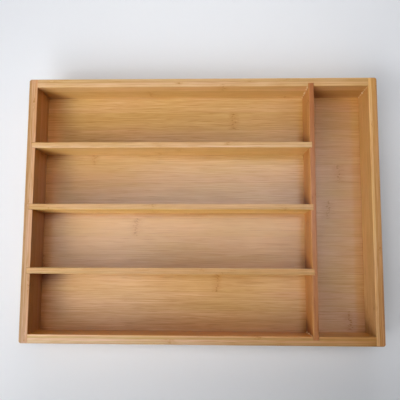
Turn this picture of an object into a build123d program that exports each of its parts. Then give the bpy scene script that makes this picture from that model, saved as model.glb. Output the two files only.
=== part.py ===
"""Cutlery tray in laminated bamboo with five compartments.

A shallow open box: two side walls run the full depth and cover the ends of
the front and back walls, a thin floor panel sits in a groove cut around the
inside of all four walls, one long divider runs front to back between housings
in the front and back walls, and three short dividers run left to right between
housings in the left wall and in the long divider. Blind dowels hold the four
butted corners.

Frame: +X to the right, +Y to the back, +Z up. The origin is the middle of the
footprint on the surface that the tray stands on. All lengths in millimetres.
"""
import os

from build123d import *

os.makedirs("parts", exist_ok=True)

# ---------------------------------------------------------------- dimensions
TRAY_W = 360.0          # outside, left to right
TRAY_D = 270.0          # outside, front to back
TRAY_H = 50.0           # outside, base to rim
WALL_T = 8.9            # thickness of the four wall boards
RIM_TO_FLOOR = 39.2     # depth of the compartments
FLOOR_T = 5.0           # thickness of the floor panel
DIVIDER_T = 5.8         # thickness of all four dividers

LONG_DIVIDER_X = 110.0                      # left face of the long divider
SHORT_DIVIDER_BACK_Y = 67.7                 # back face of each short divider
SHORT_DIVIDER_MIDDLE_Y = 3.9
SHORT_DIVIDER_FRONT_Y = -60.6

FLOOR_GROOVE_DEPTH = 4.0    # groove for the floor panel, in every wall
FLOOR_TONGUE = 3.5          # how far the panel reaches into the groove
GROOVE_HEADROOM = 0.2       # play above the panel in its groove

WALL_HOUSING_DEPTH = 3.8    # open-topped housings in the left wall
END_HOUSING_DEPTH = 3.4     # open-topped housings in the front and back walls
CROSS_HOUSING_DEPTH = 2.8   # open-topped housings in the long divider
HOUSING_END_GAP = 0.1       # play between a divider's end and its housing
HOUSING_PLAY = 0.3          # a housing is this much wider than its divider

CORNER_R = 2.5          # outside vertical corners
OUTER_RIM_R = 1.2       # easing of the outside top edges
INNER_RIM_R = 0.5       # easing of the inside top edges
DIVIDER_RIM_R = 0.7     # easing of the dividers' top edges
BASE_R = 0.8            # easing of the outside bottom edges

DOWEL_D = 3.9           # corner dowels, and the bores that take them
DOWEL_L = 20.0
DOWEL_CHAMFER = 0.4
DOWEL_BORE_D = 4.0
DOWEL_BORE_IN_SIDE = 6.0    # blind depth in a side wall
DOWEL_BORE_IN_END = 15.0    # blind depth in the end of a front or back wall
DOWEL_LOW_Z = 20.0
DOWEL_HIGH_Z = 38.0

# ------------------------------------------------------------ derived places
HALF_W = TRAY_W / 2
HALF_D = TRAY_D / 2
IN_X = HALF_W - WALL_T      # inner face of a side wall
IN_Y = HALF_D - WALL_T      # inner face of the front or back wall
FLOOR_TOP = TRAY_H - RIM_TO_FLOOR
FLOOR_BOTTOM = FLOOR_TOP - FLOOR_T
GROOVE_H = FLOOR_T + GROOVE_HEADROOM
HOUSING_W = DIVIDER_T + HOUSING_PLAY
HOUSING_H = TRAY_H - FLOOR_TOP

WALL_MID_X = HALF_W - WALL_T / 2
WALL_MID_Y = HALF_D - WALL_T / 2
LONG_MID_X = LONG_DIVIDER_X + DIVIDER_T / 2
SHORT_MID_YS = [
    SHORT_DIVIDER_BACK_Y - DIVIDER_T / 2,
    SHORT_DIVIDER_MIDDLE_Y - DIVIDER_T / 2,
    SHORT_DIVIDER_FRONT_Y - DIVIDER_T / 2,
]
DOWEL_ZS = [DOWEL_LOW_Z, DOWEL_HIGH_Z]

# ------------------------------------------------------------------ left wall
# Full-depth board. Its inner face carries the stopped floor groove, three
# open-topped housings for the short dividers, and two dowel bores per corner.
with BuildPart() as left_wall:
    with BuildSketch(Plane.XY) as left_wall_plan:
        with Locations((-WALL_MID_X, 0)):
            Rectangle(WALL_T, TRAY_D)
        fillet(left_wall_plan.vertices().group_by(Axis.X)[0], radius=CORNER_R)
    extrude(amount=TRAY_H)
    # outside top edges: long side, both ends and the corner arcs
    left_rim = left_wall.faces().sort_by(Axis.Z)[-1].edges()
    fillet(left_rim.sort_by(Axis.X)[:-1], radius=OUTER_RIM_R)
    # inside top edge
    fillet(
        left_wall.faces().sort_by(Axis.Z)[-1].edges().sort_by(Axis.X)[-1:],
        radius=INNER_RIM_R,
    )
    # outside bottom edges
    left_base = left_wall.faces().sort_by(Axis.Z)[0].edges()
    fillet(left_base.sort_by(Axis.X)[:-1], radius=BASE_R)
    # stopped groove for the floor panel
    with BuildSketch(Plane.XY.offset(FLOOR_BOTTOM)):
        with Locations((-IN_X - FLOOR_GROOVE_DEPTH / 2, 0)):
            Rectangle(FLOOR_GROOVE_DEPTH, 2 * (IN_Y + FLOOR_GROOVE_DEPTH))
    extrude(amount=GROOVE_H, mode=Mode.SUBTRACT)
    # housings for the short dividers, open at the rim
    with BuildSketch(Plane.XY.offset(FLOOR_TOP)):
        with Locations(
            *[(-IN_X - WALL_HOUSING_DEPTH / 2, y) for y in SHORT_MID_YS]
        ):
            Rectangle(WALL_HOUSING_DEPTH, HOUSING_W)
    extrude(amount=HOUSING_H, mode=Mode.SUBTRACT)
    # blind dowel bores, two at each end
    with BuildSketch(Plane.YZ.offset(-IN_X)):
        with Locations(
            *[(y, z) for y in (-WALL_MID_Y, WALL_MID_Y) for z in DOWEL_ZS]
        ):
            Circle(DOWEL_BORE_D / 2)
    extrude(amount=-DOWEL_BORE_IN_SIDE, mode=Mode.SUBTRACT)
left_wall.part.label = "left_wall"

# ----------------------------------------------------------------- right wall
# Mirror of the left wall in outline, groove and bores, with a plain inner
# face: the right compartment runs the full depth of the tray.
with BuildPart() as right_wall:
    with BuildSketch(Plane.XY) as right_wall_plan:
        with Locations((WALL_MID_X, 0)):
            Rectangle(WALL_T, TRAY_D)
        fillet(right_wall_plan.vertices().group_by(Axis.X)[-1], radius=CORNER_R)
    extrude(amount=TRAY_H)
    right_rim = right_wall.faces().sort_by(Axis.Z)[-1].edges()
    fillet(right_rim.sort_by(Axis.X)[1:], radius=OUTER_RIM_R)
    fillet(
        right_wall.faces().sort_by(Axis.Z)[-1].edges().sort_by(Axis.X)[:1],
        radius=INNER_RIM_R,
    )
    right_base = right_wall.faces().sort_by(Axis.Z)[0].edges()
    fillet(right_base.sort_by(Axis.X)[1:], radius=BASE_R)
    with BuildSketch(Plane.XY.offset(FLOOR_BOTTOM)):
        with Locations((IN_X + FLOOR_GROOVE_DEPTH / 2, 0)):
            Rectangle(FLOOR_GROOVE_DEPTH, 2 * (IN_Y + FLOOR_GROOVE_DEPTH))
    extrude(amount=GROOVE_H, mode=Mode.SUBTRACT)
    with BuildSketch(Plane.YZ.offset(IN_X)):
        with Locations(
            *[(y, z) for y in (-WALL_MID_Y, WALL_MID_Y) for z in DOWEL_ZS]
        ):
            Circle(DOWEL_BORE_D / 2)
    extrude(amount=DOWEL_BORE_IN_SIDE, mode=Mode.SUBTRACT)
right_wall.part.label = "right_wall"

# ------------------------------------------------------------------ back wall
# Board between the side walls, with a through groove for the floor panel, one
# open-topped housing for the long divider and two dowel bores in each end.
with BuildPart() as back_wall:
    with BuildSketch(Plane.XY):
        with Locations((0, WALL_MID_Y)):
            Rectangle(2 * IN_X, WALL_T)
    extrude(amount=TRAY_H)
    back_rim = back_wall.faces().sort_by(Axis.Z)[-1].edges().filter_by(Axis.X)
    fillet(back_rim.sort_by(Axis.Y)[-1], radius=OUTER_RIM_R)
    back_rim = back_wall.faces().sort_by(Axis.Z)[-1].edges().filter_by(Axis.X)
    fillet(back_rim.sort_by(Axis.Y)[0], radius=INNER_RIM_R)
    back_base = back_wall.faces().sort_by(Axis.Z)[0].edges().filter_by(Axis.X)
    fillet(back_base.sort_by(Axis.Y)[-1], radius=BASE_R)
    with BuildSketch(Plane.XY.offset(FLOOR_BOTTOM)):
        with Locations((0, IN_Y + FLOOR_GROOVE_DEPTH / 2)):
            Rectangle(2 * IN_X, FLOOR_GROOVE_DEPTH)
    extrude(amount=GROOVE_H, mode=Mode.SUBTRACT)
    with BuildSketch(Plane.XY.offset(FLOOR_TOP)):
        with Locations((LONG_MID_X, IN_Y + END_HOUSING_DEPTH / 2)):
            Rectangle(HOUSING_W, END_HOUSING_DEPTH)
    extrude(amount=HOUSING_H, mode=Mode.SUBTRACT)
    with BuildSketch(Plane.YZ.offset(-IN_X)):
        with Locations(*[(WALL_MID_Y, z) for z in DOWEL_ZS]):
            Circle(DOWEL_BORE_D / 2)
    extrude(amount=DOWEL_BORE_IN_END, mode=Mode.SUBTRACT)
    with BuildSketch(Plane.YZ.offset(IN_X)):
        with Locations(*[(WALL_MID_Y, z) for z in DOWEL_ZS]):
            Circle(DOWEL_BORE_D / 2)
    extrude(amount=-DOWEL_BORE_IN_END, mode=Mode.SUBTRACT)
back_wall.part.label = "back_wall"

# ----------------------------------------------------------------- front wall
# The back wall's mirror image across the tray's middle.
with BuildPart() as front_wall:
    with BuildSketch(Plane.XY):
        with Locations((0, -WALL_MID_Y)):
            Rectangle(2 * IN_X, WALL_T)
    extrude(amount=TRAY_H)
    front_rim = front_wall.faces().sort_by(Axis.Z)[-1].edges().filter_by(Axis.X)
    fillet(front_rim.sort_by(Axis.Y)[0], radius=OUTER_RIM_R)
    front_rim = front_wall.faces().sort_by(Axis.Z)[-1].edges().filter_by(Axis.X)
    fillet(front_rim.sort_by(Axis.Y)[-1], radius=INNER_RIM_R)
    front_base = front_wall.faces().sort_by(Axis.Z)[0].edges().filter_by(Axis.X)
    fillet(front_base.sort_by(Axis.Y)[0], radius=BASE_R)
    with BuildSketch(Plane.XY.offset(FLOOR_BOTTOM)):
        with Locations((0, -IN_Y - FLOOR_GROOVE_DEPTH / 2)):
            Rectangle(2 * IN_X, FLOOR_GROOVE_DEPTH)
    extrude(amount=GROOVE_H, mode=Mode.SUBTRACT)
    with BuildSketch(Plane.XY.offset(FLOOR_TOP)):
        with Locations((LONG_MID_X, -IN_Y - END_HOUSING_DEPTH / 2)):
            Rectangle(HOUSING_W, END_HOUSING_DEPTH)
    extrude(amount=HOUSING_H, mode=Mode.SUBTRACT)
    with BuildSketch(Plane.YZ.offset(-IN_X)):
        with Locations(*[(-WALL_MID_Y, z) for z in DOWEL_ZS]):
            Circle(DOWEL_BORE_D / 2)
    extrude(amount=DOWEL_BORE_IN_END, mode=Mode.SUBTRACT)
    with BuildSketch(Plane.YZ.offset(IN_X)):
        with Locations(*[(-WALL_MID_Y, z) for z in DOWEL_ZS]):
            Circle(DOWEL_BORE_D / 2)
    extrude(amount=-DOWEL_BORE_IN_END, mode=Mode.SUBTRACT)
front_wall.part.label = "front_wall"

# ---------------------------------------------------------------- floor panel
# One thin board that floats in the groove, with a little room to swell at
# every edge. Its underside is recessed above the walls' bottom edges.
with BuildPart() as floor_panel:
    with BuildSketch(Plane.XY.offset(FLOOR_BOTTOM)):
        Rectangle(2 * (IN_X + FLOOR_TONGUE), 2 * (IN_Y + FLOOR_TONGUE))
    extrude(amount=FLOOR_T)
floor_panel.part.label = "floor_panel"

# --------------------------------------------------------------- long divider
# Stands on the floor panel, with its ends in the front and back walls. Three
# open-topped housings in its left face take the short dividers.
with BuildPart() as long_divider:
    with BuildSketch(Plane.XY.offset(FLOOR_TOP)):
        with Locations((LONG_MID_X, 0)):
            Rectangle(
                DIVIDER_T, 2 * (IN_Y + END_HOUSING_DEPTH - HOUSING_END_GAP)
            )
    extrude(amount=HOUSING_H)
    long_rim = long_divider.faces().sort_by(Axis.Z)[-1].edges().filter_by(Axis.Y)
    fillet(long_rim, radius=DIVIDER_RIM_R)
    with BuildSketch(Plane.XY.offset(FLOOR_TOP)):
        with Locations(
            *[(LONG_DIVIDER_X + CROSS_HOUSING_DEPTH / 2, y) for y in SHORT_MID_YS]
        ):
            Rectangle(CROSS_HOUSING_DEPTH, HOUSING_W)
    extrude(amount=HOUSING_H, mode=Mode.SUBTRACT)
long_divider.part.label = "long_divider"

# ------------------------------------------------------------- short dividers
# Three equal boards that stand on the floor panel, each with its left end in
# the left wall and its right end in the long divider.
SHORT_LEFT_X = -IN_X - WALL_HOUSING_DEPTH + HOUSING_END_GAP
SHORT_RIGHT_X = LONG_DIVIDER_X + CROSS_HOUSING_DEPTH - HOUSING_END_GAP
SHORT_L = SHORT_RIGHT_X - SHORT_LEFT_X
SHORT_MID_X = (SHORT_LEFT_X + SHORT_RIGHT_X) / 2

with BuildPart() as short_divider_back:
    with BuildSketch(Plane.XY.offset(FLOOR_TOP)):
        with Locations((SHORT_MID_X, SHORT_MID_YS[0])):
            Rectangle(SHORT_L, DIVIDER_T)
    extrude(amount=HOUSING_H)
    fillet(
        short_divider_back.faces().sort_by(Axis.Z)[-1].edges().filter_by(Axis.X),
        radius=DIVIDER_RIM_R,
    )
short_divider_back.part.label = "short_divider_back"

with BuildPart() as short_divider_middle:
    with BuildSketch(Plane.XY.offset(FLOOR_TOP)):
        with Locations((SHORT_MID_X, SHORT_MID_YS[1])):
            Rectangle(SHORT_L, DIVIDER_T)
    extrude(amount=HOUSING_H)
    fillet(
        short_divider_middle.faces().sort_by(Axis.Z)[-1].edges().filter_by(Axis.X),
        radius=DIVIDER_RIM_R,
    )
short_divider_middle.part.label = "short_divider_middle"

with BuildPart() as short_divider_front:
    with BuildSketch(Plane.XY.offset(FLOOR_TOP)):
        with Locations((SHORT_MID_X, SHORT_MID_YS[2])):
            Rectangle(SHORT_L, DIVIDER_T)
    extrude(amount=HOUSING_H)
    fillet(
        short_divider_front.faces().sort_by(Axis.Z)[-1].edges().filter_by(Axis.X),
        radius=DIVIDER_RIM_R,
    )
short_divider_front.part.label = "short_divider_front"

# -------------------------------------------------------------- corner dowels
# Eight hidden pegs, two at each corner, along X through the butt joints. The
# bores are a millimetre longer than the peg, which sits midway in that play.
DOWEL_PLAY = DOWEL_BORE_IN_SIDE + DOWEL_BORE_IN_END - DOWEL_L
DOWEL_START = IN_X + DOWEL_BORE_IN_SIDE - DOWEL_PLAY / 2

with BuildPart() as corner_dowels:
    with BuildSketch(Plane.YZ.offset(-DOWEL_START)):
        with Locations(
            *[(y, z) for y in (-WALL_MID_Y, WALL_MID_Y) for z in DOWEL_ZS]
        ):
            Circle(DOWEL_D / 2)
    extrude(amount=DOWEL_L)
    with BuildSketch(Plane.YZ.offset(DOWEL_START)):
        with Locations(
            *[(y, z) for y in (-WALL_MID_Y, WALL_MID_Y) for z in DOWEL_ZS]
        ):
            Circle(DOWEL_D / 2)
    extrude(amount=-DOWEL_L)
    chamfer(corner_dowels.edges().filter_by(GeomType.CIRCLE), length=DOWEL_CHAMFER)
corner_dowels.part.label = "corner_dowels"

# --------------------------------------------------------------------- export
export_step(left_wall.part, "parts/left_wall.step")
export_step(right_wall.part, "parts/right_wall.step")
export_step(back_wall.part, "parts/back_wall.step")
export_step(front_wall.part, "parts/front_wall.step")
export_step(floor_panel.part, "parts/floor_panel.step")
export_step(long_divider.part, "parts/long_divider.step")
export_step(short_divider_back.part, "parts/short_divider_back.step")
export_step(short_divider_middle.part, "parts/short_divider_middle.step")
export_step(short_divider_front.part, "parts/short_divider_front.step")
export_step(corner_dowels.part, "parts/corner_dowels.step")
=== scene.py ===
import math

import bmesh
import bpy
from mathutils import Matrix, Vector, noise as mnoise


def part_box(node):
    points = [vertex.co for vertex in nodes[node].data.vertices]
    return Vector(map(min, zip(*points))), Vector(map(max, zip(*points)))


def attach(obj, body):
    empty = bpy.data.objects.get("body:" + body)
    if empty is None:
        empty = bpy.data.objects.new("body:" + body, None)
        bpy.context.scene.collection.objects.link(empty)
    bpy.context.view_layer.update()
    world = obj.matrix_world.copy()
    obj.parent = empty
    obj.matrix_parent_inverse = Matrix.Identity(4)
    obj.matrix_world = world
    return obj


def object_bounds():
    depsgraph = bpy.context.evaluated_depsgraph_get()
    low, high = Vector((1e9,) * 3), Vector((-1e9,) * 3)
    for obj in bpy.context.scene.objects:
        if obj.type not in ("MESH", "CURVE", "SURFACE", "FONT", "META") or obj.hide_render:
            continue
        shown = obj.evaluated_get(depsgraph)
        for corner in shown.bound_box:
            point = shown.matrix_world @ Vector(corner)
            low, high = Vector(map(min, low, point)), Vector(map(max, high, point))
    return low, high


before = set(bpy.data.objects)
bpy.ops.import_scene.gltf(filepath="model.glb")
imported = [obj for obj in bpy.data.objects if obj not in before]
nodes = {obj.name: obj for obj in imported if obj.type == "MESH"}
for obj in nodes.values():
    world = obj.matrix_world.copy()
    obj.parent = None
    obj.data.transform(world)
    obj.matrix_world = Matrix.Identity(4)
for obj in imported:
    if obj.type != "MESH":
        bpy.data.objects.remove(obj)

CAD_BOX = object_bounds()
MM = 0.001
scene = bpy.context.scene


# =====================================================================
# camera: nearly straight down, over the front right of the middle
# =====================================================================
cam_data = bpy.data.cameras.new("camera")
cam_data.sensor_width = 36.0
cam_data.lens = 48.567
cam_data.clip_start = 0.01
cam_data.clip_end = 20.0
camera = bpy.data.objects.new("camera", cam_data)
camera.location = (0.0167591, -0.0564024, 0.5903581)
camera.rotation_euler = (0.1187, 0.0318, 0.0050)
scene.collection.objects.link(camera)
scene.camera = camera


# =====================================================================
# a small writer for shader node trees; any value may be a socket
# =====================================================================
class Tree:
    def __init__(self, name):
        self.mat = bpy.data.materials.new(name)
        self.mat.use_nodes = True
        self.tree = self.mat.node_tree
        self.tree.nodes.clear()

    def node(self, kind, **props):
        n = self.tree.nodes.new(kind)
        for key, value in props.items():
            setattr(n, key, value)
        return n

    def put(self, socket, value):
        if isinstance(value, bpy.types.NodeSocket):
            self.tree.links.new(value, socket)
        else:
            socket.default_value = value

    def math(self, op, a, b=0.0, c=0.0, clamp=False):
        n = self.node("ShaderNodeMath", operation=op, use_clamp=clamp)
        for i, value in enumerate((a, b, c)):
            self.put(n.inputs[i], value)
        return n.outputs[0]

    def add(self, a, b):
        return self.math("ADD", a, b)

    def sub(self, a, b):
        return self.math("SUBTRACT", a, b)

    def mul(self, a, b):
        return self.math("MULTIPLY", a, b)

    def div(self, a, b):
        return self.math("DIVIDE", a, b)

    def vec(self, x, y, z):
        n = self.node("ShaderNodeCombineXYZ")
        for i, value in enumerate((x, y, z)):
            self.put(n.inputs[i], value)
        return n.outputs[0]

    def split(self, vector):
        n = self.node("ShaderNodeSeparateXYZ")
        self.put(n.inputs[0], vector)
        return n.outputs

    def noise(self, vector, detail=2.0, rough=0.5, distortion=0.0):
        """Noise about 0.5 whose grain is 1 unit of vector."""
        n = self.node("ShaderNodeTexNoise", noise_dimensions="3D")
        self.put(n.inputs["Vector"], vector)
        n.inputs["Scale"].default_value = 1.0
        n.inputs["Detail"].default_value = detail
        n.inputs["Roughness"].default_value = rough
        n.inputs["Distortion"].default_value = distortion
        return n.outputs["Fac"]

    def white(self, vector):
        """(value, three more values) that are random for each vector."""
        n = self.node("ShaderNodeTexWhiteNoise", noise_dimensions="3D")
        self.put(n.inputs["Vector"], vector)
        c = self.node("ShaderNodeSeparateColor")
        self.put(c.inputs[0], n.outputs["Color"])
        return n.outputs["Value"], c.outputs

    def smooth(self, x, lo, hi, out_lo=0.0, out_hi=1.0):
        n = self.node("ShaderNodeMapRange", interpolation_type="SMOOTHSTEP")
        for i, value in enumerate((x, lo, hi, out_lo, out_hi)):
            self.put(n.inputs[i], value)
        return n.outputs[0]

    def ramp(self, x, stops):
        """Colour of x, from stops of (place, colour)."""
        n = self.node("ShaderNodeValToRGB")
        self.put(n.inputs[0], x)
        el = n.color_ramp.elements
        while len(el) > 1:
            el.remove(el[-1])
        el[0].position, el[0].color = stops[0][0], (*stops[0][1], 1.0)
        for place, colour in stops[1:]:
            e = el.new(place)
            e.color = (*colour, 1.0)
        return n.outputs["Color"]

    def mix(self, fac, a, b, blend="MIX"):
        n = self.node("ShaderNodeMix", data_type="RGBA", blend_type=blend)
        self.put(n.inputs[0], fac)
        for socket, value in ((n.inputs[6], a), (n.inputs[7], b)):
            if isinstance(value, bpy.types.NodeSocket):
                self.put(socket, value)
            else:
                socket.default_value = (*value, 1.0)
        return n.outputs[2]

    def grey(self, value):
        n = self.node("ShaderNodeCombineColor")
        for i in range(3):
            self.put(n.inputs[i], value)
        return n.outputs[0]


# =====================================================================
# bamboo: boards glued up from strips, with the grain along one axis
# =====================================================================
def bamboo(
    node,
    along,
    through,
    outer_low,
    layers,
    strip,
    seed,
    wobble=0.5,
    streak=1.0,
    node_gap=240.0,
    node_dark=0.20,
    face=None,
    skin=None,
    both=False,
    drift=(1.0, 1.0, 1.0),
    coat=0.4,
    tone_and_painted_light=None,
):
    """One board's material. along and through are the axes (0 to 2) of its
    grain and of its thickness. layers lists (share of the thickness, colour)
    from the outer face to the inner one; outer_low says that the outer face is
    on the low side of the through axis. strip is the width in mm of the strips
    that show on the board's faces. face is the colour of the inner broad face,
    or of both, fitted to the photo apart from the edges' colours; where it is
    lighter or darker than the edges, it is partly painted light and shade. skin
    is the colour of the outer one, which is a guess. drift tints the edges
    towards the board's far end, as painted light and shade of the light falling
    off across the tray. The last argument gives one more tint of the inner face,
    from the tree and the place in mm, partly painted light and shade."""
    t = Tree("bamboo_" + node)
    lo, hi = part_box(node)
    across = 3 - along - through
    coords = t.node("ShaderNodeTexCoord")
    place = t.node("ShaderNodeVectorMath", operation="SCALE")
    t.put(place.inputs[0], coords.outputs["Object"])
    place.inputs["Scale"].default_value = 1000.0
    xyz = t.split(place.outputs[0])
    u = t.sub(xyz[along], lo[along] * 1000)
    v = t.sub(xyz[across], lo[across] * 1000)
    thick = (hi[through] - lo[through]) * 1000
    if outer_low:
        w = t.sub(xyz[through], lo[through] * 1000)
    else:
        w = t.sub(hi[through] * 1000, xyz[through])

    normal = t.split(coords.outputs["Normal"])
    flat = t.smooth(t.math("ABSOLUTE", normal[through]), 0.55, 0.85)

    # layers through the thickness; their glue lines wander a little
    wander = t.noise(t.vec(t.div(u, 95.0), t.div(v, 60.0), seed * 3.7), 2.0, 0.5)
    wander = t.mul(t.sub(wander, 0.5), 2.0 * wobble)
    depth = t.math("DIVIDE", t.add(w, wander), thick, clamp=True)
    stops, edges, at = [], [], 0.0
    for i, (share, colour) in enumerate(layers):
        soft = min(0.018, share * 0.3)
        stops.append((min(1.0, at + (soft if i else 0.0)), colour))
        at += share
        if i < len(layers) - 1:
            stops.append((at - soft, colour))
            edges.append(at)
    layer_colour = t.ramp(depth, stops)
    inner = flat if both else t.mul(flat, t.smooth(depth, 0.4, 0.6))
    # the inner face's own colour, partly painted light and shade
    if face:
        layer_colour = t.mix(inner, layer_colour, face)
    if skin:
        outside = t.mul(flat, t.smooth(depth, 0.4, 0.6, 1.0, 0.0))
        layer_colour = t.mix(outside, layer_colour, skin)
    layer = 0.0
    glue = 0.0
    for e in edges:
        layer = t.add(layer, t.math("GREATER_THAN", depth, e))
        line = t.smooth(
            t.math("ABSOLUTE", t.mul(t.sub(depth, e), thick)), 0.05, 0.28, 1.0, 0.0
        )
        glue = t.math("MAXIMUM", glue, line)

    # strips across the board, offset from layer to layer
    shift, _ = t.white(t.vec(layer, seed, 1.3))
    row = t.div(t.add(v, t.mul(shift, strip)), strip)
    strip_no = t.math("FLOOR", row)
    in_strip = t.mul(t.sub(row, strip_no), strip)
    to_joint = t.math("MINIMUM", in_strip, t.sub(strip, in_strip))
    joint = t.smooth(to_joint, 0.04, 0.30, 1.0, 0.0)
    one, rnd = t.white(t.vec(strip_no, layer, seed + 0.5))

    # nodes of the culm: one in each strip every couple of hand widths, each a
    # scatter of brown flecks rather than a line
    bow = t.noise(t.vec(t.div(u, 9.0), t.div(v, 3.5), t.add(t.div(w, 2.0), seed)), 2.0)
    cell = t.add(t.div(u, node_gap), one)
    cell = t.sub(cell, t.math("FLOOR", cell))
    to_node = t.mul(t.sub(cell, 0.5), node_gap)
    to_node = t.add(to_node, t.mul(t.sub(bow, 0.5), 9.0))
    off_node = t.math("ABSOLUTE", to_node)
    halo = t.smooth(off_node, 1.0, 9.0, 1.0, 0.0)
    fleck = t.noise(
        t.vec(t.div(u, 2.6), t.div(v, 1.5), t.add(t.div(w, 1.5), seed * 2.9)), 1.0
    )
    fleck = t.smooth(fleck, 0.46, 0.62)
    ridge = t.mul(t.smooth(off_node, 0.3, 2.4, 1.0, 0.0), fleck)

    # fibres run along the strip and swirl where they cross a node
    swirl = t.noise(
        t.vec(t.div(u, 6.5), t.div(v, 3.4), t.add(t.div(w, 3.0), seed * 1.9)), 1.0
    )
    swirl = t.mul(t.mul(t.sub(swirl, 0.5), halo), 3.0)
    sway = t.noise(t.vec(t.div(u, 190.0), t.div(v, 40.0), seed * 2.3), 1.0)
    vv = t.add(t.add(v, swirl), t.mul(t.sub(sway, 0.5), 0.9))
    ww = t.add(w, t.mul(swirl, 0.5))
    lane = t.mul(one, 37.0)
    patch = t.noise(t.vec(t.div(u, 75.0), t.div(vv, 17.0), seed * 4.1), 1.0)
    broad = t.noise(
        t.vec(t.div(u, 110.0), t.div(vv, 4.2), t.add(t.div(ww, 4.2), lane)), 1.0
    )
    medium = t.noise(
        t.vec(t.div(u, 74.0), t.div(vv, 0.66), t.add(t.div(ww, 0.66), lane)), 2.0, 0.6
    )
    fine = t.noise(
        t.vec(t.div(u, 27.0), t.div(vv, 0.38), t.add(t.div(ww, 0.38), lane)), 1.0, 0.6
    )
    vessel = t.noise(
        t.vec(t.div(u, 22.0), t.div(vv, 0.56), t.add(t.div(ww, 0.62), t.add(lane, 9.0))),
        1.0,
        0.5,
    )
    dash = t.smooth(vessel, 0.58, 0.70)

    # end grain: bundles seen end on, as dark dots
    endness = t.smooth(t.math("ABSOLUTE", normal[along]), 0.55, 0.85)
    dots = t.node("ShaderNodeTexVoronoi", voronoi_dimensions="3D")
    t.put(
        dots.inputs["Vector"],
        t.vec(t.div(v, 0.85), t.div(w, 0.85), t.add(seed, t.div(u, 40.0))),
    )
    dots.inputs["Scale"].default_value = 1.0
    dot = t.smooth(dots.outputs["Distance"], 0.16, 0.36, 1.0, 0.0)

    # colour: the darker, the browner
    blush = t.smooth(
        t.add(t.mul(rnd[0], 0.6), t.mul(t.sub(patch, 0.5), 1.3)), -0.05, 0.75
    )
    warm = t.mix(blush, (0.985, 1.005, 0.90), (1.015, 0.985, 1.06))
    colour = t.mix(1.0, layer_colour, warm, "MULTIPLY")
    vary = t.add(0.06, t.mul(inner, 0.13)) if face else 0.06
    shade = t.add(1.0, t.mul(t.sub(one, 0.5), vary))
    for value, amount in (
        (patch, 0.10),
        (broad, 0.13 * streak),
        (medium, 0.42 * streak),
        (fine, 0.48 * streak),
    ):
        shade = t.mul(shade, t.add(1.0, t.mul(t.sub(value, 0.5), amount)))
    for value, amount in (
        (dash, 0.17 * streak),
        (ridge, node_dark),
        (halo, node_dark * 0.22),
        (joint, 0.13),
        (glue, 0.12),
    ):
        shade = t.mul(shade, t.sub(1.0, t.mul(value, amount)))
    tone = t.node("ShaderNodeCombineColor")
    t.put(tone.inputs[0], shade)
    t.put(tone.inputs[1], t.math("POWER", shade, 1.62))
    t.put(tone.inputs[2], t.math("POWER", shade, 3.1))
    colour = t.mix(1.0, colour, tone.outputs[0], "MULTIPLY")
    # drift towards the far end: painted light and shade of the light falling off across the tray
    far = t.mul(t.div(u, (hi[along] - lo[along]) * 1000), t.sub(1.0, flat))
    colour = t.mix(1.0, colour, t.mix(far, (1.0, 1.0, 1.0), drift), "MULTIPLY")
    # one more tint of the inner face, partly painted light and shade
    if tone_and_painted_light:
        where = inner if face else 1.0
        tint = t.mix(where, (1.0, 1.0, 1.0), tone_and_painted_light(t, *xyz))
        colour = t.mix(1.0, colour, tint, "MULTIPLY")
    cut = t.mix(t.mul(dot, 0.75), (0.50, 0.29, 0.115), (0.20, 0.095, 0.035))
    colour = t.mix(t.mul(endness, 0.9), colour, cut)

    # height in metres: raised fibres, sunk vessels and joints, proud nodes
    h = t.mul(t.sub(fine, 0.5), 0.009)
    h = t.add(h, t.mul(t.sub(medium, 0.5), 0.014))
    h = t.sub(h, t.mul(dash, 0.006))
    h = t.add(h, t.mul(ridge, 0.03))
    h = t.sub(h, t.mul(joint, 0.03))
    h = t.sub(h, t.mul(glue, 0.02))
    h = t.sub(h, t.mul(t.mul(dot, endness), 0.04))
    h = t.mul(h, MM)
    bump = t.node("ShaderNodeBump")
    bump.inputs["Strength"].default_value = 0.8
    bump.inputs["Distance"].default_value = 1.0
    t.put(bump.inputs["Height"], h)
    film = t.node("ShaderNodeBump")
    film.inputs["Strength"].default_value = 0.35
    film.inputs["Distance"].default_value = 1.0
    t.put(film.inputs["Height"], h)

    rough = t.add(0.50, t.mul(t.sub(medium, 0.5), 0.22))
    rough = t.add(rough, t.mul(dash, 0.10))
    rough = t.math("ADD", rough, t.mul(endness, 0.18), clamp=True)

    shader = t.node("ShaderNodeBsdfPrincipled")
    t.put(shader.inputs["Base Color"], colour)
    t.put(shader.inputs["Roughness"], rough)
    t.put(shader.inputs["Normal"], bump.outputs[0])
    t.put(shader.inputs["Coat Normal"], film.outputs[0])
    shader.inputs["Specular IOR Level"].default_value = 0.12
    shader.inputs["Coat Weight"].default_value = coat
    shader.inputs["Coat Roughness"].default_value = 0.26
    shader.inputs["Coat IOR"].default_value = 1.68
    out = t.node("ShaderNodeOutputMaterial")
    t.put(out.inputs["Surface"], shader.outputs[0])
    return t.mat


def paint(name, material):
    mesh = nodes[name].data
    mesh.materials.clear()
    mesh.materials.append(material)


def span(node, axis):
    """Lowest and highest place of a node along an axis, in mm."""
    lo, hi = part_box(node)
    return lo[axis] / MM, hi[axis] / MM


# The tints below are fitted to the photo, face by face. They hold painted
# light and shade as well as the wood's own colour, since one photo can't
# tell the two apart. Under another light they stay as they are.


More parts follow.
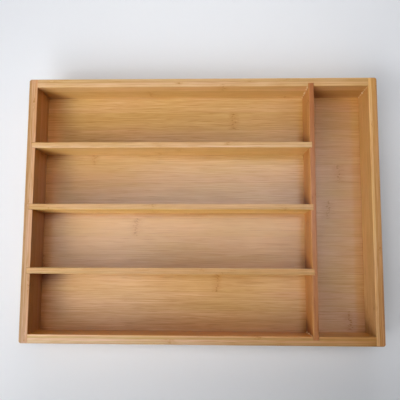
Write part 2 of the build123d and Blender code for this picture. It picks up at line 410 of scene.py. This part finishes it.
def floor_tone_and_painted_light(t, x, y, z):
    """The floor's tone differs from compartment to compartment. Painted shade
    makes it darker and redder along the walls and in the corners, with painted
    shadows of the walls in wedges that widen towards the left wall along the
    back of each compartment; painted light and sheen make it paler in some
    patches and bluer in others."""
    left_x = span("left_wall", 0)[1]
    right_x = span("right_wall", 0)[0]
    divider = span("long_divider", 0)
    gap_x = 1000.0
    for place, more in (
        (left_x, 0.0), (right_x, 5.0), (divider[0], 3.0), (divider[1], 6.0)
    ):
        gap = t.add(t.math("ABSOLUTE", t.sub(x, place)), more)
        gap_x = t.math("MINIMUM", gap_x, gap)
    right = t.smooth(x, *divider)
    front_y = t.sub(y, span("front_wall", 1)[1])
    gap_y = front_y
    back_y = t.sub(span("back_wall", 1)[0], y)
    for name in (
        "short_divider_back", "short_divider_middle", "short_divider_front"
    ):
        low_y, high_y = span(name, 1)
        gap = t.sub(y, high_y)
        gap = t.add(gap, t.mul(t.math("LESS_THAN", gap, -1.0), 1000.0))
        gap_y = t.math("MINIMUM", gap_y, t.add(gap, t.mul(right, 1000.0)))
        gap = t.sub(low_y, y)
        gap = t.add(gap, t.mul(t.math("LESS_THAN", gap, -1.0), 1000.0))
        back_y = t.math("MINIMUM", back_y, t.add(gap, t.mul(right, 1000.0)))
    # painted shade: darker and redder within a few mm of the walls and dividers
    cloud = t.noise(t.vec(t.div(x, 30.0), t.div(y, 30.0), 3.3), 2.0)
    reach = t.add(8.0, t.mul(cloud, 7.0))
    rim = t.smooth(t.math("MINIMUM", gap_x, gap_y), 0.0, reach, 1.0, 0.0)
    front = t.smooth(y, *span("short_divider_front", 1))
    back = t.smooth(y, *span("short_divider_back", 1))
    tone = t.mix(front, (0.935, 0.965, 1.010), (0.782, 0.778, 0.763))
    tone = t.mix(back, tone, (0.990, 1.025, 1.065))
    tone = t.mix(right, tone, (0.715, 0.722, 0.890))
    edge = t.mix(rim, (1.0, 1.0, 1.0), (0.93, 0.86, 0.80))
    tone = t.mix(1.0, tone, edge, "MULTIPLY")
    # painted light and shade: the darker, redder tints below are painted shade, the paler and bluer ones painted
    # light and sheen
    left = t.smooth(x, left_x, left_x + 26.0, 1.0, 0.0)
    tone = t.mix(1.0, tone, t.mix(left, (1.0, 1.0, 1.0), (1.06, 0.90, 0.69)), "MULTIPLY")
    fore = t.mul(left, t.sub(1.0, front))
    tone = t.mix(1.0, tone, t.mix(fore, (1.0, 1.0, 1.0), (0.85, 0.83, 0.86)), "MULTIPLY")
    second = t.mul(t.smooth(y, *span("short_divider_middle", 1)), t.sub(1.0, back))
    second = t.mul(second, left)
    tone = t.mix(1.0, tone, t.mix(second, (1.0, 1.0, 1.0), (1.05, 0.88, 0.52)), "MULTIPLY")
    second = t.mul(t.smooth(y, *span("short_divider_middle", 1)), t.sub(1.0, back))
    second = t.mul(t.mul(second, t.sub(1.0, right)), t.smooth(back_y, 6.0, 34.0, 1.0, 0.0))
    tone = t.mix(1.0, tone, t.mix(second, (1.0, 1.0, 1.0), (1.045, 1.11, 1.15)), "MULTIPLY")
    first = t.mul(left, back)
    tone = t.mix(1.0, tone, t.mix(first, (1.0, 1.0, 1.0), (1.10, 0.98, 0.95)), "MULTIPLY")
    foot = t.smooth(x, left_x, left_x + 7.0, 1.0, 0.0)
    foot = t.mul(foot, t.smooth(y, *span("short_divider_middle", 1)))
    tone = t.mix(1.0, tone, t.mix(foot, (1.0, 1.0, 1.0), (1.09, 1.28, 1.48)), "MULTIPLY")
    foot = t.smooth(t.sub(divider[0], x), 1.0, 8.0, 1.0, 0.0)
    foot = t.mul(foot, t.math("LESS_THAN", x, divider[0]))
    near = t.mix(front, (0.99, 0.98, 0.96), (1.08, 1.13, 1.12))
    near = t.mix(t.smooth(gap_y, 6.0, 26.0), (0.93, 0.83, 0.66), near)
    tone = t.mix(1.0, tone, t.mix(foot, (1.0, 1.0, 1.0), near), "MULTIPLY")
    foot = t.smooth(t.sub(x, divider[1]), 6.0, 20.0, 1.0, 0.0)
    foot = t.mul(foot, right)
    tone = t.mix(1.0, tone, t.mix(foot, (1.0, 1.0, 1.0), (1.20, 1.15, 1.16)), "MULTIPLY")
    fore = t.mul(t.smooth(x, 30.0, 100.0), t.mul(t.sub(1.0, front), t.sub(1.0, right)))
    tone = t.mix(1.0, tone, t.mix(fore, (1.0, 1.0, 1.0), (1.00, 1.02, 1.17)), "MULTIPLY")
    low = t.mul(t.smooth(front_y, 0.0, 24.0, 1.0, 0.0), t.sub(1.0, right))
    tone = t.mix(1.0, tone, t.mix(low, (1.0, 1.0, 1.0), (0.885, 0.765, 0.550)), "MULTIPLY")
    pink = t.mul(t.smooth(x, -70.0, 30.0, 1.0, 0.0), t.sub(1.0, front))
    tone = t.mix(1.0, tone, t.mix(pink, (1.0, 1.0, 1.0), (1.0, 1.0, 1.15)), "MULTIPLY")
    # painted shadows of the walls: wedges along the back of the left compartments
    from_left = t.sub(x, left_x)
    wedge = t.mul(
        t.smooth(from_left, 0.0, 40.0, 1.0, 0.0),
        t.smooth(t.add(back_y, t.mul(from_left, 0.14)), 1.0, 16.0, 1.0, 0.0),
    )
    tone = t.mix(1.0, tone, t.mix(wedge, (1.0, 1.0, 1.0), (0.77, 0.65, 0.54)), "MULTIPLY")
    wedge = t.mul(
        t.smooth(from_left, 0.0, 44.0, 1.0, 0.0),
        t.smooth(t.add(back_y, t.mul(from_left, 0.20)), 4.0, 24.0, 1.0, 0.0),
    )
    wedge = t.mul(wedge, t.sub(1.0, front))
    tone = t.mix(1.0, tone, t.mix(wedge, (1.0, 1.0, 1.0), (0.75, 0.68, 0.66)), "MULTIPLY")
    upper = t.mul(back, t.smooth(back_y, 6.0, 34.0, 1.0, 0.0))
    upper = t.mul(upper, t.sub(1.0, right))
    tone = t.mix(1.0, tone, t.mix(upper, (1.0, 1.0, 1.0), (0.87, 0.905, 0.89)), "MULTIPLY")
    # painted shade in the corners
    far = t.add(t.mul(gap_x, 1.3), t.mul(gap_y, 0.6))
    nook = t.smooth(far, 0.0, 13.0, 1.0, 0.0)
    tone = t.mix(1.0, tone, t.mix(nook, (1.0, 1.0, 1.0), (0.74, 0.68, 0.60)), "MULTIPLY")
    side = t.smooth(x, right_x - 26.0, right_x - 14.0)
    side = t.mul(side, t.smooth(y, -110.0, -20.0, 1.0, 0.0))
    tone = t.mix(1.0, tone, t.mix(side, (1.0, 1.0, 1.0), (1.05, 1.07, 1.20)), "MULTIPLY")
    side = t.smooth(x, right_x - 12.0, right_x - 6.0)
    end_y = span("back_wall", 1)[0]
    near = t.smooth(y, end_y - 90.0, end_y - 25.0)
    near = t.mix(near, (0.955, 0.85, 0.61), (1.00, 1.03, 0.84))
    tone = t.mix(1.0, tone, t.mix(side, (1.0, 1.0, 1.0), near), "MULTIPLY")
    end = t.mul(right, t.smooth(y, end_y - 26.0, end_y))
    tone = t.mix(1.0, tone, t.mix(end, (1.0, 1.0, 1.0), (0.96, 0.890, 0.67)), "MULTIPLY")
    end = t.mul(right, t.smooth(y, end_y - 105.0, end_y - 30.0))
    tone = t.mix(1.0, tone, t.mix(end, (1.0, 1.0, 1.0), (1.13, 1.07, 0.99)), "MULTIPLY")
    end = t.mul(right, t.smooth(front_y, 0.0, 60.0, 1.0, 0.0))
    return t.mix(1.0, tone, t.mix(end, (1.0, 1.0, 1.0), (0.99, 1.01, 1.18)), "MULTIPLY")


def left_face_painted_light(t, x, y, z):
    """Painted light and shade: the left wall's inner face pales towards the back."""
    pale = t.smooth(y, -60.0, 122.0)
    return t.mix(pale, (0.87, 1.00, 1.22), (1.32, 1.62, 2.02))


def left_wall_painted_shadow(t, x, y, z):
    """Painted shadow of the left wall: a board that runs left to right is browner
    where it meets the left wall, in a wedge that widens low down."""
    depth = t.sub(CAD_BOX[1][2] / MM, z)
    gap = t.sub(x, span("left_wall", 0)[1])
    corner = t.smooth(t.sub(gap, t.mul(depth, 0.60)), -10.0, 14.0, 1.0, 0.0)
    return t.mix(corner, (1.0, 1.0, 1.0), (0.60, 0.48, 0.38))


def right_face_grey_and_painted_shade(t, x, y, z):
    """The right wall's inner face is greyer towards the front. Painted shade makes
    it browner in the front corner, most of all low down."""
    pale = t.smooth(y, -90.0, -10.0, 1.0, 0.0)
    tint = t.mix(pale, (1.0, 1.0, 1.0), (0.98, 1.02, 1.32))
    depth = t.sub(CAD_BOX[1][2] / MM, z)
    gap = t.sub(y, span("front_wall", 1)[1])
    nook = t.smooth(t.sub(gap, t.mul(depth, 0.28)), -4.0, 11.0, 1.0, 0.0)
    corner = t.mix(nook, (1.0, 1.0, 1.0), (0.64, 0.63, 0.52))
    return t.mix(1.0, tint, corner, "MULTIPLY")


def front_face_painted_shade_and_light(t, x, y, z):
    """Painted shade and light: the front wall's inner face is darker beyond the
    long divider, and a little paler towards the left."""
    right = t.smooth(x, *span("long_divider", 0))
    left = t.smooth(x, -120.0, 20.0, 1.0, 0.0)
    tint = t.mix(left, (1.0, 1.0, 1.0), (0.98, 1.07, 1.16))
    return t.mix(right, tint, (0.76, 0.81, 1.00))


def divider_painted_shadow(t, x, y, z):
    """Painted shadow of the short dividers: the long divider's left face is browner
    at the front end of each compartment, most of all low down."""
    depth = t.sub(CAD_BOX[1][2] / MM, z)
    gap_y = t.sub(y, span("front_wall", 1)[1])
    for name in (
        "short_divider_back", "short_divider_middle", "short_divider_front"
    ):
        gap = t.sub(y, span(name, 1)[1])
        gap = t.add(gap, t.mul(t.math("LESS_THAN", gap, -1.0), 1000.0))
        gap_y = t.math("MINIMUM", gap_y, gap)
    nook = t.smooth(t.sub(gap_y, t.mul(depth, 0.28)), -4.0, 8.0, 1.0, 0.0)
    nook = t.mul(nook, t.math("LESS_THAN", x, sum(span("long_divider", 0)) / 2))
    return t.mix(nook, (1.0, 1.0, 1.0), (0.55, 0.45, 0.30))


def back_wall_painted_shadow(t, x, y, z):
    """Painted shade: the back wall's inner face is darker beyond the long divider,
    most of all low down beside it, and it takes the left wall's painted shadow too."""
    divider = span("long_divider", 0)
    right = t.smooth(x, *divider)
    depth = t.sub(CAD_BOX[1][2] / MM, z)
    low = t.mul(
        t.smooth(depth, 6.0, 32.0),
        t.smooth(x, divider[1] + 4.0, span("right_wall", 0)[0], 1.0, 0.25),
    )
    tint = t.mix(low, (0.85, 0.77, 0.66), (0.56, 0.43, 0.34))
    tint = t.mix(right, (1.0, 1.0, 1.0), tint)
    return t.mix(1.0, tint, left_wall_painted_shadow(t, x, y, z), "MULTIPLY")


X, Y, Z = 0, 1, 2
# Each inner face colour (face) is lighter or darker than its board's edges partly as painted light and shade:
# darker on the left and front walls, lighter on the right and back walls and on the dividers.
paint("left_wall", bamboo(
    "left_wall", Y, X, True,
    [
        (0.10, (0.535, 0.346, 0.179)),
        (0.20, (0.468, 0.269, 0.144)),
        (0.26, (0.525, 0.317, 0.163)),
        (0.20, (0.602, 0.370, 0.242)),
        (0.24, (0.635, 0.355, 0.221)),
    ],
    19.0, 3.0, skin=(0.610, 0.365, 0.148), face=(0.465, 0.178, 0.041), drift=(1.06, 0.98, 0.82),
    tone_and_painted_light=left_face_painted_light))
paint("right_wall", bamboo(
    "right_wall", Y, X, False,
    [
        (0.20, (0.477, 0.226, 0.092)),
        (0.28, (0.512, 0.247, 0.098)),
        (0.16, (0.564, 0.284, 0.113)),
        (0.16, (0.605, 0.338, 0.148)),
        (0.20, (0.666, 0.367, 0.161)),
    ],
    19.0, 7.0, skin=(0.590, 0.345, 0.135), face=(0.790, 0.445, 0.145), drift=(1.18, 1.24, 1.10),
    tone_and_painted_light=right_face_grey_and_painted_shade))
paint("back_wall", bamboo(
    "back_wall", X, Y, False,
    [
        (0.36, (0.643, 0.400, 0.198)),
        (0.12, (0.614, 0.373, 0.169)),
        (0.24, (0.686, 0.429, 0.227)),
        (0.28, (0.700, 0.436, 0.221)),
    ],
    19.0, 11.0, streak=0.8, skin=(0.640, 0.390, 0.160), face=(0.762, 0.466, 0.182), drift=(0.91, 0.85, 0.71),
    tone_and_painted_light=back_wall_painted_shadow))
paint("front_wall", bamboo(
    "front_wall", X, Y, True,
    [
        (0.16, (0.611, 0.408, 0.202)),
        (0.20, (0.650, 0.463, 0.240)),
        (0.26, (0.729, 0.490, 0.287)),
        (0.18, (0.640, 0.432, 0.190)),
        (0.20, (0.760, 0.496, 0.269)),
    ],
    19.0, 17.0, streak=0.8, skin=(0.620, 0.370, 0.150), face=(0.505, 0.196, 0.024), drift=(0.65, 0.45, 0.25),
    tone_and_painted_light=front_face_painted_shade_and_light))
paint("floor_panel", bamboo(
    "floor_panel", X, Z, True,
    [
        (0.34, (0.668, 0.360, 0.121)),
        (0.33, (0.626, 0.339, 0.111)),
        (0.33, (0.683, 0.380, 0.126)),
    ],
    19.5, 23.0, wobble=0.15, node_gap=500.0, node_dark=0.30, coat=1.0,
    tone_and_painted_light=floor_tone_and_painted_light))
paint("long_divider", bamboo(
    "long_divider", Y, X, True,
    [(0.27, (0.480, 0.205, 0.063)), (0.73, (0.385, 0.143, 0.040))],
    19.0, 29.0, wobble=0.3, face=(0.640, 0.300, 0.090), both=True,
    drift=(1.05, 0.99, 1.06), tone_and_painted_light=divider_painted_shadow))
for i, (name, front, back, face, drift) in enumerate((
    ("short_divider_back", (0.655, 0.408, 0.195), (0.720, 0.458, 0.227),
     (0.715, 0.440, 0.136), (0.95, 0.92, 0.90)),
    ("short_divider_middle", (0.572, 0.326, 0.131), (0.600, 0.344, 0.131),
     (0.860, 0.565, 0.178), (0.92, 0.87, 0.78)),
    ("short_divider_front", (0.577, 0.337, 0.145), (0.625, 0.358, 0.147),
     (0.930, 0.650, 0.285), (0.89, 0.81, 0.68)),
)):
    paint(name, bamboo(
        name, X, Y, True, [(0.46, front), (0.54, back)],
        19.0, 31.0 + 5.0 * i, wobble=0.4, face=face, both=True, drift=drift,
        tone_and_painted_light=left_wall_painted_shadow))

dowel = Tree("dowel_wood")
shader = dowel.node("ShaderNodeBsdfPrincipled")
coords = dowel.node("ShaderNodeTexCoord")
place = dowel.split(coords.outputs["Object"])
grain = dowel.noise(
    dowel.vec(dowel.mul(place[0], 60.0), dowel.mul(place[1], 1500.0), dowel.mul(place[2], 1500.0)), 2.0)
dowel.put(shader.inputs["Base Color"], dowel.ramp(grain, [(0.3, (0.52, 0.35, 0.18)), (0.7, (0.70, 0.52, 0.30))]))
dowel.put(shader.inputs["Roughness"], dowel.add(0.6, dowel.mul(grain, 0.2)))
dowel.put(dowel.node("ShaderNodeOutputMaterial").inputs["Surface"], shader.outputs[0])
paint("corner_dowels", dowel.mat)


# =====================================================================
# beads of hardened glue, squeezed out along three upright inner corners
# =====================================================================
def bead(name, corner, into, z0, z1, seed):
    """A concave fillet up the corner, reaching along the two walls in the
    directions into; where it breaks off, it is hidden behind their faces."""
    rings, steps = [], int((z1 - z0) / 0.45)
    for k in range(steps + 1):
        z = z0 + (z1 - z0) * k / steps
        size = 0.55 + 2.4 * mnoise.noise(Vector((z * 0.16, seed, 0.0)))
        size += 0.9 * mnoise.noise(Vector((z * 0.47, seed, 5.0)))
        size += 0.25 * mnoise.noise(Vector((z * 1.3, seed, 7.0)))
        size = max(-0.04, min(1.45, size)) if 0 < k < steps else -0.04
        lean = 0.7 * mnoise.noise(Vector((z * 0.3, seed, 9.0)))
        a, b = size * (1.0 + lean), size * (1.0 - lean)
        ring = [(-0.06, -0.06), (a, -0.06)]
        for j in range(1, 6):
            angle = math.pi / 2 * j / 6
            ring.append((a * (1 - math.sin(angle)) + 0.12 * size, b * (1 - math.cos(angle)) + 0.12 * size))
        ring.append((-0.06, b))
        rings.append([
            ((corner[0] + into[0] * p) * MM, (corner[1] + into[1] * q) * MM, z * MM)
            for p, q in ring
        ])
    n = len(rings[0])
    faces = []
    for k in range(steps):
        for j in range(n):
            m = (j + 1) % n
            faces.append((k * n + j, k * n + m, (k + 1) * n + m, (k + 1) * n + j))
    faces.append(tuple(range(n)))
    faces.append(tuple(steps * n + j for j in range(n)))
    mesh = bpy.data.meshes.new(name)
    mesh.from_pydata([p for ring in rings for p in ring], [], faces)
    work = bmesh.new()
    work.from_mesh(mesh)
    bmesh.ops.recalc_face_normals(work, faces=work.faces)
    work.to_mesh(mesh)
    work.free()
    for polygon in mesh.polygons:
        polygon.use_smooth = True
    obj = bpy.data.objects.new(name, mesh)
    scene.collection.objects.link(obj)
    mesh.materials.append(glue_mat)
    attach(obj, "root")
    return obj


dried = Tree("dried_glue")
coords = dried.node("ShaderNodeTexCoord")
place = dried.node("ShaderNodeVectorMath", operation="SCALE")
dried.put(place.inputs[0], coords.outputs["Object"])
place.inputs["Scale"].default_value = 900.0
cloud = dried.noise(place.outputs[0], 3.0, 0.6)
shader = dried.node("ShaderNodeBsdfPrincipled")
dried.put(
    shader.inputs["Base Color"],
    dried.ramp(cloud, [(0.35, (0.66, 0.43, 0.20)), (0.62, (0.86, 0.70, 0.46))]),
)
dried.put(shader.inputs["Roughness"], dried.add(0.24, dried.mul(cloud, 0.2)))
shader.inputs["Specular IOR Level"].default_value = 0.6
lumps = dried.node("ShaderNodeBump")
lumps.inputs["Strength"].default_value = 0.5
lumps.inputs["Distance"].default_value = 1.0
dried.put(lumps.inputs["Height"], dried.mul(cloud, 0.00025))
dried.put(shader.inputs["Normal"], lumps.outputs[0])
dried.put(dried.node("ShaderNodeOutputMaterial").inputs["Surface"], shader.outputs[0])
glue_mat = dried.mat

in_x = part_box("right_wall")[0][0] / MM
in_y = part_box("back_wall")[0][1] / MM
divider_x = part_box("long_divider")[0][0] / MM
floor_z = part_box("floor_panel")[1][2] / MM
rim_z = CAD_BOX[1][2] / MM
bead("glue_back_divider", (divider_x, in_y), (-1, -1), floor_z - 0.1, rim_z - 1.6, 2.0)
bead("glue_back_corner", (in_x, in_y), (-1, -1), floor_z - 0.1, rim_z - 1.6, 5.0)
bead("glue_front_divider", (divider_x, -in_y), (-1, 1), floor_z - 0.1, rim_z - 1.6, 8.0)


# =====================================================================
# stage: a plain pale ground
# =====================================================================
def plane(name, half, z):
    mesh = bpy.data.meshes.new(name)
    mesh.from_pydata(
        [(-half, -half, z), (half, -half, z), (half, half, z), (-half, half, z)],
        [],
        [(0, 1, 2, 3)],
    )
    obj = bpy.data.objects.new(name, mesh)
    scene.collection.objects.link(obj)
    return obj


ground = plane("ground", 3.0, 0.0)
paper = Tree("ground_pale")
shader = paper.node("ShaderNodeBsdfPrincipled")
shader.inputs["Base Color"].default_value = (0.790, 0.808, 0.850, 1.0)
shader.inputs["Roughness"].default_value = 0.48
shader.inputs["Specular IOR Level"].default_value = 0.5
paper.put(paper.node("ShaderNodeOutputMaterial").inputs["Surface"], shader.outputs[0])
ground.data.materials.append(paper.mat)


# =====================================================================
# light: soft, from the front left, with a broken pale ceiling that shows as a
# sheen on the floor, and a little from the back
# =====================================================================
def softbox(name, place, aim, size, radiance, spread=180.0):
    """An area light. radiance is that of its surface at a spread of 180
    degrees; a smaller spread gathers the same energy around its axis."""
    data = bpy.data.lights.new(name, "AREA")
    data.shape = "RECTANGLE"
    data.size, data.size_y = size
    data.spread = math.radians(spread)
    data.energy = radiance * math.pi * size[0] * size[1]
    obj = bpy.data.objects.new(name, data)
    obj.location = place
    obj.rotation_euler = (Vector(place) - Vector(aim)).to_track_quat("Z", "Y").to_euler()
    obj.visible_camera = False
    scene.collection.objects.link(obj)
    return obj


def ceiling(name, x0, x1, y0, y1, radiance, z=1.0):
    place = ((x0 + x1) / 2, (y0 + y1) / 2, z)
    softbox(name, place, (place[0], place[1], 0.0), (x1 - x0, y1 - y0), radiance)


softbox("key", (-0.9, -0.5, 1.1), (-0.15, 0.12, 0), (0.55, 0.55), 0.713, 45)
softbox("key_low", (-0.6, -0.8, 1.1), (-0.15, 0.12, 0), (0.55, 0.55), 0.233, 45)
softbox("key_side", (-1.1, -0.15, 0.9), (-0.15, 0.12, 0), (0.55, 0.55), 0.196, 45)
softbox("fill", (-0.35, -1.0, 0.9), (-0.15, 0.12, 0), (0.55, 0.55), 0.447, 45)
softbox("side", (0.9, 0.1, 1.0), (0.3, 0.1, 0), (0.5, 0.5), 0.266, 50)
softbox("far", (0.1, 1.1, 0.9), (0.15, 0.25, 0), (0.5, 0.5), 0.228, 50)
softbox("back", (0.0, 1.5, 0.55), (0, 0, 0.55), (1.1, 0.8), 3.99)
ceiling("band_mid", -0.44, 0.28, 0.00, 0.12, 3.68, 1.000)
ceiling("band_back", -0.20, 0.28, 0.12, 0.24, 3.50, 1.003)
ceiling("band_right", 0.16, 0.40, -0.24, 0.36, 0.99, 1.006)
ceiling("band_left", -0.32, -0.20, -0.36, 0.12, 1.74, 1.009)
ceiling("band_far", -0.56, -0.20, -0.12, 0.12, 0.97, 1.012)

# strips in three rings wash the ground around the tray; their cones stop short
# of it
for ring, out, wide, z, spread, radiance in (
    ("near", 0.85, 0.5, 0.55, 60, 0.38),
    ("middle", 1.5, 0.8, 1.0, 66, 0.66),
    ("outer", 2.4, 1.0, 1.4, 84, 0.60),
):
    long, short = 2 * out + wide, 2 * out - wide
    for side, x, y, size in (
        ("front", 0.0, -out, (long, wide)),
        ("back", 0.0, out, (long, wide)),
        ("left", -out, 0.0, (wide, short)),
        ("right", out, 0.0, (wide, short)),
    ):
        softbox(
            "wash_" + ring + "_" + side, (x, y, z), (x, y, 0.0), size, radiance, spread
        )

world = bpy.data.worlds.new("studio")
scene.world = world
world.use_nodes = True
sky = world.node_tree.nodes["Background"]
sky.inputs[0].default_value = (0.93, 0.96, 1.0, 1.0)
ray = world.node_tree.nodes.new("ShaderNodeLightPath")
level = world.node_tree.nodes.new("ShaderNodeMapRange")
level.inputs["To Min"].default_value = 0.01
level.inputs["To Max"].default_value = 0.40
world.node_tree.links.new(ray.outputs["Is Camera Ray"], level.inputs["Value"])
world.node_tree.links.new(level.outputs["Result"], sky.inputs["Strength"])

scene.view_settings.view_transform = "Standard"
scene.view_settings.look = "None"
